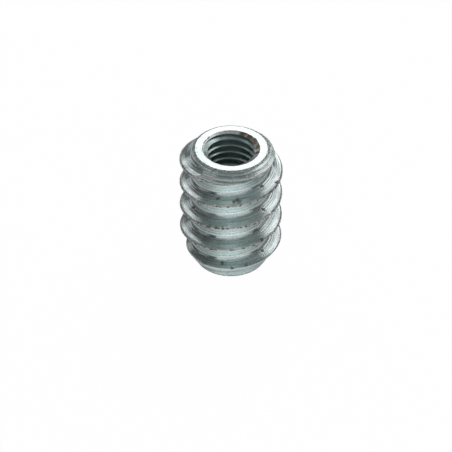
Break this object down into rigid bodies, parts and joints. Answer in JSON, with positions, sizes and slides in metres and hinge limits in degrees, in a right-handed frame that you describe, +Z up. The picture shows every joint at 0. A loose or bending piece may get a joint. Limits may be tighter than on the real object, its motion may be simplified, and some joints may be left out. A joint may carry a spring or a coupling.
{
  "type": "threaded insert",
  "caption": "Turned steel sleeve with a coarse self-cutting thread outside, chamfered ends and a threaded through bore, set in wood to take a machine screw.",
  "frame": {"origin": "centre of the lower, lead-in end face, on the axis of the bore", "axes": "+Z up along the bore to the upper end face, -Y to the side shown at the front, +X to its right"},
  "size_m": [0.0188, 0.0188, 0.025],
  "materials": {
    "zinc_plated_steel": "turned steel with a thin bright zinc plating, fine lathe marks, burred crests and small rust specks"
  },
  "bodies": {
    "root": {"insert_body": "zinc_plated_steel"}
  },
  "joints": []
}
